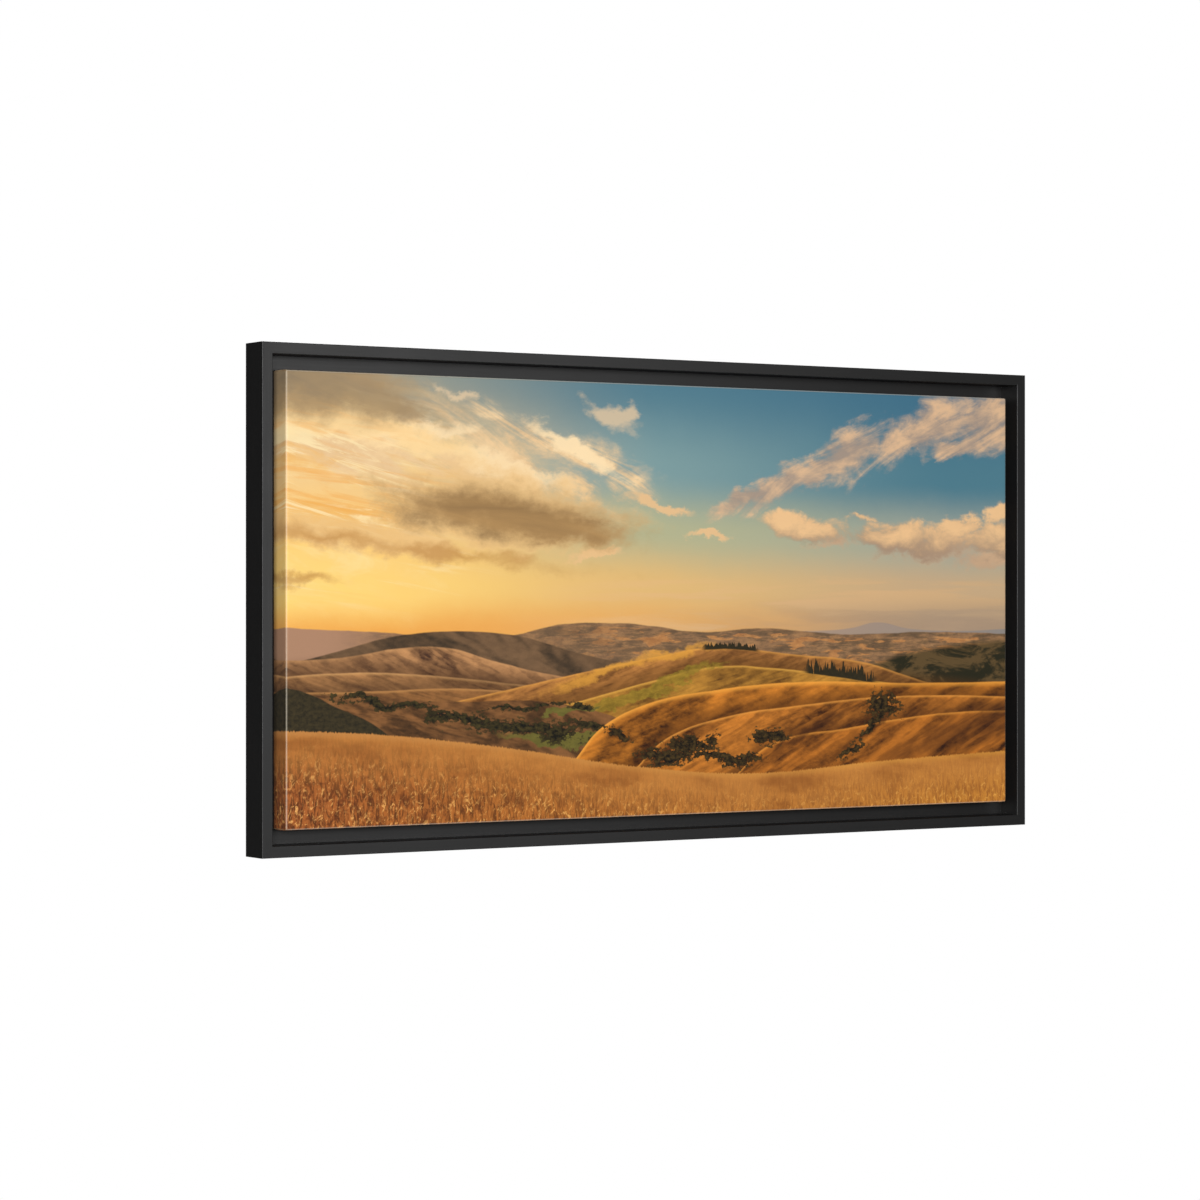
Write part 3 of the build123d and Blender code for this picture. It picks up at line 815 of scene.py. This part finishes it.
def lacquer(name, level):
    """Satin black over fine wood, its pores along the rail."""
    shader = Shader(name, Specular_IOR_Level=0.5)
    x, y, z = shader.split(shader.place())
    along, over = (x, z) if level else (z, x)
    pores = shader.noise(shader.join(along * 6, over * 260, y * 260), 3, 5, 0.6)
    patch = shader.noise(shader.place(), 9, 3)
    dust = shader.noise(shader.place(), 700, 2)
    specks = shader.step(dust, 0.72, 0.8)
    colour = shader.mix(pores * 0.6 + patch * 0.4, srgb("#121212"), srgb("#1C1B1B"))
    colour = shader.mix(specks * 0.25, colour, srgb("#4A4846"))
    shader.feed("Base Color", colour)
    shader.feed("Roughness", patch * 0.1 + pores * 0.1 + 0.32)
    shader.bump(pores, 0.12, 0.3 * MM)
    return shader.material


def timber(name, along_axis, early, late, pores_colour, ring=420, knots=True):
    """Planed softwood: growth rings across the grain, stretched along it."""
    shader = Shader(name, Specular_IOR_Level=0.3)
    axes = shader.split(shader.place())
    along = axes.pop(along_axis)
    over, through = axes
    wander = shader.noise(shader.join(along * 1.2, over * 9, through * 9), 2.2, 3)
    rings = (over * ring + through * ring * 0.35 + wander * 16).sine() * 0.5 + 0.5
    fibre = shader.noise(shader.join(along * 14, over * 900, through * 900), 1, 4, 0.6)
    colour = shader.mix(rings ** 2.5 * 0.75, srgb(early), srgb(late))
    tint = shader.noise(shader.join(along * 1.5, over * 4, through * 4), 2, 3)
    colour = shader.multiply(tint * 0.5, colour, srgb("#E0C8A4"))
    colour = shader.mix(shader.step(fibre, 0.6, 0.75) * 0.35, colour, srgb(pores_colour))
    if knots:
        away = shader.cells(shader.join(along * 3.2, over * 11, through * 11), 1.0)
        knot = shader.step(away, 0.16, 0.06)
        halo = shader.step(away, 0.3, 0.12)
        colour = shader.mix(halo * 0.45, colour, srgb("#B07A44"))
        colour = shader.mix(knot * 0.85, colour, srgb("#6B4020"))
    shader.feed("Base Color", colour)
    shader.feed("Roughness", rings * 0.08 + fibre * 0.15 + 0.55)
    shader.bump(fibre + rings * 0.4, 0.25, 0.4 * MM)
    return shader.material


def metal(name, dull, bright, rough, scratch):
    """Plated steel with fine scratches and a mottled tone."""
    shader = Shader(name, Metallic=1.0)
    place = shader.place()
    mottle = shader.noise(place, 180, 4)
    lines = shader.noise(shader.node("ShaderNodeMapping", values={0: place, 3: (900, 60, 60)}), 1, 3)
    shader.feed("Base Color", shader.mix(mottle * 0.7 + lines * 0.3, srgb(dull), srgb(bright)))
    shader.feed("Roughness", mottle * 0.15 + lines * 0.15 + rough)
    shader.bump(lines, scratch, 0.1 * MM)
    return shader.material


def rubber():
    """Moulded rubber with dust on it."""
    shader = Shader("bumper_rubber", Specular_IOR_Level=0.35)
    grain = shader.noise(shader.place(), 1400, 3)
    dust = shader.noise(shader.place(), 240, 4)
    colour = shader.mix(dust, srgb("#1B1B1C"), srgb("#38383A"))
    shader.feed("Base Color", colour)
    shader.feed("Roughness", grain * 0.2 + 0.6)
    shader.bump(grain, 0.3, 0.1 * MM)
    return shader.material


X_AXIS, Z_AXIS = 0, 2
PINE = ("#DDB98A", "#B98550", "#8E6238")
BEECH = ("#C99A6C", "#A87546", "#7B4F2C")

LEVEL_LACQUER = lacquer("black_lacquer_level", True)
UPRIGHT_LACQUER = lacquer("black_lacquer_upright", False)
LEVEL_PINE = timber("pine_level", X_AXIS, *PINE)
UPRIGHT_PINE = timber("pine_upright", Z_AXIS, *PINE)
LEVEL_BEECH = timber("beech_level", X_AXIS, *BEECH, ring=900, knots=False)
UPRIGHT_BEECH = timber("beech_upright", Z_AXIS, *BEECH, ring=900, knots=False)
GALVANISED = metal("galvanised_steel", "#8E8F90", "#C9CACB", 0.3, 0.2)
BLACK_STEEL = metal("black_steel", "#141414", "#2B2B2C", 0.35, 0.2)
NICKEL = metal("nickel_plate", "#BDB9B0", "#EFEBE2", 0.26, 0.15)
RUBBER = rubber()


def dress(node, material):
    """Give a node of the frame its material."""
    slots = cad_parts[node].data.materials
    slots.clear()
    slots.append(material)


for side in ("top", "bottom"):
    dress(f"frame_rail_{side}", LEVEL_LACQUER)
    dress(f"stretcher_bar_{side}", LEVEL_PINE)
for side in ("left", "right"):
    dress(f"frame_rail_{side}", UPRIGHT_LACQUER)
    dress(f"stretcher_bar_{side}", UPRIGHT_PINE)
    dress(f"hanger_strap_{side}", NICKEL)
    dress(f"hanger_ring_{side}", NICKEL)
    dress(f"wall_bumper_{side}", RUBBER)
dress("centre_brace", UPRIGHT_PINE)
dress("corner_v_nails", GALVANISED)
dress("canvas_staples", GALVANISED)
dress("frame_screws", BLACK_STEEL)
dress("hanger_screws", NICKEL)
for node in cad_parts:
    if node.startswith("corner_key"):
        level = "left_bar" in node or "right_bar" in node
        dress(node, LEVEL_BEECH if level else UPRIGHT_BEECH)


# ---- the cloth -------------------------------------------------------
CLOTH = 0.4 * MM
EDGE_ROUND = 2.9 * MM        # front edge, over the bead
BACK_ROUND = 1.2 * MM
CORNER_ROUND = 1.8 * MM
RETURN = 30 * MM             # cloth on the backs of the bars
FRONT_BAND = 24 * MM         # of the face, worked out with the edges
CUT_WAVER = 0.7 * MM         # of the cut edge
WAVER_PITCH = 12 * MM        # along it, for one radian
WAVER_REACH = 12 * MM        # in from it
CELLS_ACROSS = 140
CELLS_UP = 100
CORNER_CELLS = 28            # of them at each end of a side
CORNER_REACH = 38 * MM
FOLD_EASE = 1.6 * MM
LEDGE_LAP = 16.8 * MM        # of the cloth's back that lies under the frame
CORNER_STEPS = 6
BAND_POINTS = 5              # of the section: on the face, round a bend, on the side, on the back
BEND_POINTS = 9
SIDE_POINTS = 7
BACK_POINTS = 17


def profile():
    """The cloth's section from the face round to its cut edge on the back.

    Two straights, two quarter circles and the side between them, as (out, depth, run):
    out is measured from the side of the canvas, depth from its face, and run is the
    length along the cloth from the edge of the canvas.
    """
    depth = cloth_high.y - cloth_low.y
    turn = np.linspace(0, math.pi / 2, BEND_POINTS)
    front = np.stack([np.linspace(-FRONT_BAND, -EDGE_ROUND, BAND_POINTS), np.zeros(BAND_POINTS)], 1)
    round_front = np.stack([EDGE_ROUND * (np.sin(turn) - 1), EDGE_ROUND * (1 - np.cos(turn))], 1)
    down_side = np.linspace(EDGE_ROUND, depth - BACK_ROUND, SIDE_POINTS)
    side = np.stack([np.zeros(SIDE_POINTS), down_side], 1)
    round_back = np.stack([BACK_ROUND * (np.cos(turn) - 1), depth - BACK_ROUND * (1 - np.sin(turn))], 1)
    inwards = np.linspace(-BACK_ROUND, -RETURN, BACK_POINTS)
    back = np.stack([inwards, np.full(BACK_POINTS, depth)], 1)
    line = np.concatenate([front, round_front[1:], side[1:], round_back[1:], back[1:]])
    run = np.concatenate([[0], np.cumsum(np.linalg.norm(np.diff(line, axis=0), axis=1))])
    return np.column_stack([line, run - FRONT_BAND])


def stations(cells, half):
    """Places from -1 to 1 along a side that is 2 * half long, closer together at its ends."""
    share = CORNER_REACH / half
    middle = np.linspace(share - 1, 1 - share, cells - 2 * CORNER_CELLS + 1)
    end = np.linspace(1 - share, 1, CORNER_CELLS + 1)[1:]
    return np.concatenate([-end[::-1], middle, end])


def outline(half_width, half_height, corner):
    """A rounded rectangle: its points, their outward directions, and how loose each is.

    Each corner is a quarter circle.  The points go anticlockwise as seen from the front,
    starting on the right-hand side's lower end.  Looseness is 0 on a corner, and along a
    side it is 1 less the eighth power of the place from -1 to 1.
    """
    points, outward, loose = [], [], []
    quarters = np.linspace(0, math.pi / 2, CORNER_STEPS + 1)
    for quarter in range(4):
        cells = CELLS_UP if quarter % 2 == 0 else CELLS_ACROSS
        cos, sin = round(math.cos(quarter * math.pi / 2)), round(math.sin(quarter * math.pi / 2))
        out = np.array([cos, sin], float)
        along = np.array([-sin, cos], float)
        reach, half = (half_width, half_height) if quarter % 2 == 0 else (half_height, half_width)
        spread = stations(cells, CANVAS_HEIGHT / 2 if quarter % 2 == 0 else CANVAS_WIDTH / 2)
        points.append(out * reach + along * spread[:, None] * (half - corner))
        outward.append(np.repeat(out[None], cells + 1, 0))
        loose.append(1 - spread ** 8)
        arc = quarters[1:-1, None]
        turned = out * np.cos(arc) + along * np.sin(arc)
        points.append(out * (reach - corner) + along * (half - corner) + turned * corner)
        outward.append(turned)
        loose.append(np.zeros(len(arc)))
    return np.concatenate(points), np.concatenate(outward), np.concatenate(loose)


def corner_fold(ring, edge_out, run, out, side):
    """The spare cloth of a corner, folded flat on to the top or bottom side.

    Its fold runs at 45 degrees from the front corner to the back, and goes on over the
    back of the bar.  It lifts a point by two thicknesses of cloth where the point lies
    closer to the corner than it lies behind the face.  Returns the lift outwards and the
    lift backwards.
    """
    level = np.abs(edge_out[:, 1]) > 0.999
    from_corner = CANVAS_WIDTH / 2 - np.abs(ring[:, 0])
    lift = 2 * CLOTH * level * np.clip((min(run, side) - from_corner) / FOLD_EASE, 0, 1)
    on_side = out > -BACK_ROUND * 0.2 and EDGE_ROUND < run < side
    on_back = min(max((-out - LEDGE_LAP) / FOLD_EASE, 0), 1) if run > side else 0
    return lift * on_side, lift * on_back


def make_cloth():
    """Rounded rectangles of the section's reach, stacked along it, and a grid for the face."""
    section = profile()
    side = cloth_high.y - cloth_low.y
    rings, flats = [], []
    edge, edge_out, loose = outline(CANVAS_WIDTH / 2, CANVAS_HEIGHT / 2, CORNER_ROUND)
    phase = np.cumsum(np.linalg.norm(edge - np.roll(edge, 1, 0), axis=1)) / WAVER_PITCH
    waver = np.sin(phase) * np.cos(phase * 0.37) * loose * CUT_WAVER
    for out, depth, run in section:
        corner = max(CORNER_ROUND + out, 0.0)
        ring = outline(CANVAS_WIDTH / 2 + out, CANVAS_HEIGHT / 2 + out, corner)[0]
        late = max(0.0, 1 - (section[-1][2] - run) / WAVER_REACH)
        outwards, backwards = corner_fold(ring, edge_out, run, out, side)
        flats.append(ring if run <= 0 else edge + edge_out * run)
        ring = ring + edge_out * (waver * late + outwards)[:, None]
        place = np.column_stack([ring[:, 0], cloth_low.y + depth + backwards, ring[:, 1] + MIDDLE.z])
        rings.append(place)
    count = len(edge)
    places = np.concatenate(rings)
    flat = np.concatenate(flats)
    rows = np.arange(len(section) - 1)[:, None] * count
    here = np.arange(count)[None]
    after = (here + 1) % count
    corners = [rows + here, rows + after, rows + count + after, rows + count + here]
    quads = np.stack(corners, -1).reshape(-1, 4)

    # The face inside the first ring: a grid with the same divisions.
    inner_x = CANVAS_WIDTH / 2 - FRONT_BAND
    inner_z = CANVAS_HEIGHT / 2 - FRONT_BAND
    columns = inner_x * stations(CELLS_ACROSS, CANVAS_WIDTH / 2)
    levels = inner_z * stations(CELLS_UP, CANVAS_HEIGHT / 2)
    grid_x, grid_z = (grid.ravel() for grid in np.meshgrid(columns, levels))
    face = np.column_stack([grid_x, np.full(grid_x.size, cloth_low.y), grid_z + MIDDLE.z])
    step = CELLS_ACROSS + 1
    first = len(places) + np.arange(CELLS_UP)[:, None] * step + np.arange(CELLS_ACROSS)[None]
    face_quads = np.stack([first, first + 1, first + step + 1, first + step], -1).reshape(-1, 4)
    places = np.concatenate([places, face])
    flat = np.concatenate([flat, np.column_stack([grid_x, grid_z])])
    quads = np.concatenate([quads[:, ::-1], face_quads])

    mesh = bpy.data.meshes.new("printed_canvas")
    mesh.from_pydata(places.tolist(), [], quads.tolist())
    layer = mesh.uv_layers.new(name="cloth")
    loops = np.empty(len(mesh.loops), np.int32)
    mesh.loops.foreach_get("vertex_index", loops)
    layer.data.foreach_set("uv", flat[loops].astype(np.float32).ravel())
    return mesh


def merge_doubles(mesh):
    """Join points that lie in one place, and drop faces without area."""
    work = bmesh.new()
    work.from_mesh(mesh)
    bmesh.ops.remove_doubles(work, verts=work.verts, dist=1e-6)
    bmesh.ops.dissolve_degenerate(work, edges=work.edges, dist=1e-7)
    work.to_mesh(mesh)
    work.free()


def add_piece(name, mesh, materials):
    """An object at the origin, smooth, with those materials in its slots."""
    for material in materials:
        mesh.materials.append(material)
    mesh.shade_smooth()
    piece = bpy.data.objects.new(name, mesh)
    bpy.context.scene.collection.objects.link(piece)
    return piece


cloth_mesh = make_cloth()
merge_doubles(cloth_mesh)
canvas = add_piece("printed_canvas", cloth_mesh, [printed_cloth(), bare_cloth()])
wall = canvas.modifiers.new("cloth_thickness", "SOLIDIFY")
wall.thickness = CLOTH
wall.offset = -1
wall.material_offset = 1
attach(canvas, "framed_canvas")
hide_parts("canvas")


# ---- stage and light -------------------------------------------------
FLOOR_DROP = 1.2             # below the bottom of the frame
FLOOR_REACH = 2.4
WHITE = (1, 1, 1, 1)
GLOW = 0.04                  # of the room, where the camera sees plain white


def make_stage():
    """A pale floor well below the frame."""
    mesh = bpy.data.meshes.new("floor")
    r, z = FLOOR_REACH, rail_low.z - FLOOR_DROP
    mesh.from_pydata([(-r, -r, z), (r, -r, z), (r, r, z), (-r, r, z)], [], [(0, 1, 2, 3)])
    shader = Shader("pale_floor", Roughness=0.9)
    tone = shader.noise(shader.place(), 3, 2)
    shader.feed("Base Color", shader.mix(tone, srgb("#EEEEEC"), srgb("#F4F4F2")))
    floor = add_piece("floor", mesh, [shader.material])


def area_light(name, yaw, lift, distance, size, power):
    """A square lamp facing the picture's middle.

    yaw and lift are in degrees from straight in front, to the right and upwards.
    """
    data = bpy.data.lights.new(name, "AREA")
    data.shape = "SQUARE"
    data.size = size
    data.energy = power
    lamp = bpy.data.objects.new(name, data)
    yaw, lift = math.radians(yaw), math.radians(lift)
    away = Vector((math.sin(yaw) * math.cos(lift), -math.cos(yaw) * math.cos(lift), math.sin(lift)))
    lamp.location = MIDDLE + away * distance
    lamp.rotation_euler = away.to_track_quat("Z", "Y").to_euler()
    bpy.context.scene.collection.objects.link(lamp)


def make_world():
    """White to the camera, and a dimmer even glow as light."""
    world = bpy.data.worlds.new("studio")
    studio = Nodes(world)
    seen = studio.node("ShaderNodeBackground", values={"Color": WHITE})
    glow = studio.node("ShaderNodeBackground", values={"Color": WHITE, "Strength": GLOW})
    to_camera = studio.node("ShaderNodeLightPath", output="Is Camera Ray")
    blend = studio.node("ShaderNodeMixShader", values=(to_camera, glow, seen))
    studio.tree.links.new(blend.socket, studio.tree.nodes["World Output"].inputs["Surface"])
    bpy.context.scene.world = world


make_stage()
make_world()
area_light("key", yaw=-33, lift=6, distance=9, size=2.6, power=745)
area_light("gloss", yaw=19, lift=5, distance=3.6, size=0.9, power=18)
area_light("back", yaw=160, lift=40, distance=4, size=2.0, power=110)
bpy.context.scene.view_settings.view_transform = "Standard"
